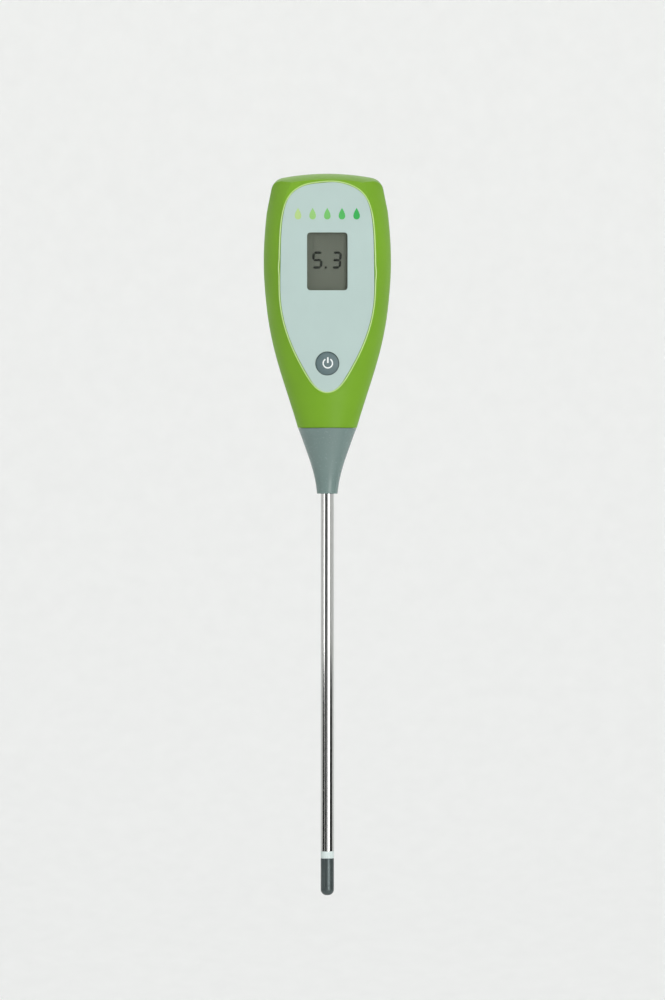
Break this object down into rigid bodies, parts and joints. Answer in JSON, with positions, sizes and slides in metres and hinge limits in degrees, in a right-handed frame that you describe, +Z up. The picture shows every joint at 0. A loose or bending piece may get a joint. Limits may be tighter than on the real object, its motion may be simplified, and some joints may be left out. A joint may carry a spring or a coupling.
{
  "type": "soil moisture meter",
  "caption": "Hand-held digital soil moisture meter: paddle-shaped head with display and button, flared collar, and a long steel probe with an insulated tip.",
  "frame": {"origin": "centre of the collar's lower face, on the probe's axis, where the soil surface is at full depth", "axes": "+Z up the probe into the head, -Y the side with the display, +X to the right for a person who reads it"},
  "size_m": [0.048, 0.0225, 0.272],
  "materials": {
    "green_plastic": "semi-gloss moulded green plastic, fine texture",
    "label_film": "smooth pale blue-grey face plate",
    "clear_plastic": "clear polished pane",
    "button_plastic": "satin slate-grey plastic",
    "collar_plastic": "semi-gloss grey plastic",
    "probe_steel": "polished stainless steel",
    "tip_metal": "dull grey metal",
    "insulator_white": "white plastic",
    "lcd_glass": "display glass with a grey-green polariser",
    "holder_plastic": "dark moulded frame",
    "strip_rubber": "layered conductive rubber",
    "board_laminate": "green solder mask on glass-fibre board",
    "chip_epoxy": "black moulded epoxy",
    "chip_ceramic": "small ceramic blocks with tinned ends",
    "plated_metal": "nickel-plated steel",
    "screw_steel": "zinc-plated steel",
    "cell_jacket": "printed metal jacket",
    "liner_plastic": "natural plastic tube",
    "rod_brass": "plain brass",
    "wire_red": "red wire insulation",
    "wire_black": "black wire insulation",
    "wire_white": "white wire insulation"
  },
  "bodies": {
    "meter": {"front_housing": "green_plastic", "rear_housing": "green_plastic", "collar": "collar_plastic", "face_label": "label_film", "display_window": "clear_plastic", "lcd_front_glass": "lcd_glass", "lcd_rear_glass": "lcd_glass", "lcd_holder": "holder_plastic", "contact_strips": "strip_rubber", "circuit_board": "board_laminate", "controller_chip": "chip_epoxy", "chip_resistors": "chip_epoxy", "chip_capacitors": "chip_ceramic", "timing_crystal": "plated_metal", "switch_body": "chip_epoxy", "board_screws": "screw_steel", "housing_screws": "screw_steel", "battery_cell": "cell_jacket", "battery_spring": "plated_metal", "negative_contact": "plated_metal", "positive_contact": "plated_metal", "negative_lead": "wire_black", "positive_lead": "wire_red", "probe_tube": "probe_steel", "tube_liner": "liner_plastic", "centre_rod": "rod_brass", "insulator_ring": "insulator_white", "probe_tip": "tip_metal", "retaining_ring": "plated_metal", "solder_tag": "plated_metal", "tube_wire": "wire_black", "tip_wire": "wire_white"},
    "button": {"power_button": "button_plastic", "switch_plunger": "chip_epoxy"},
    "cover": {"battery_cover": "green_plastic"}
  },
  "joints": [
    {"name": "button_press", "type": "slide", "parent": "meter", "child": "button", "axis": [0, 1, 0], "range_m": [0, 0.0006], "stiffness_N_per_m": 1200, "springref_m": -0.0005},
    {"name": "cover_tilt", "type": "hinge", "parent": "meter", "child": "cover", "pos_m": [0, 0.011, 0.09815], "axis": [1, 0, 0], "range_deg": [0, 75]}
  ]
}
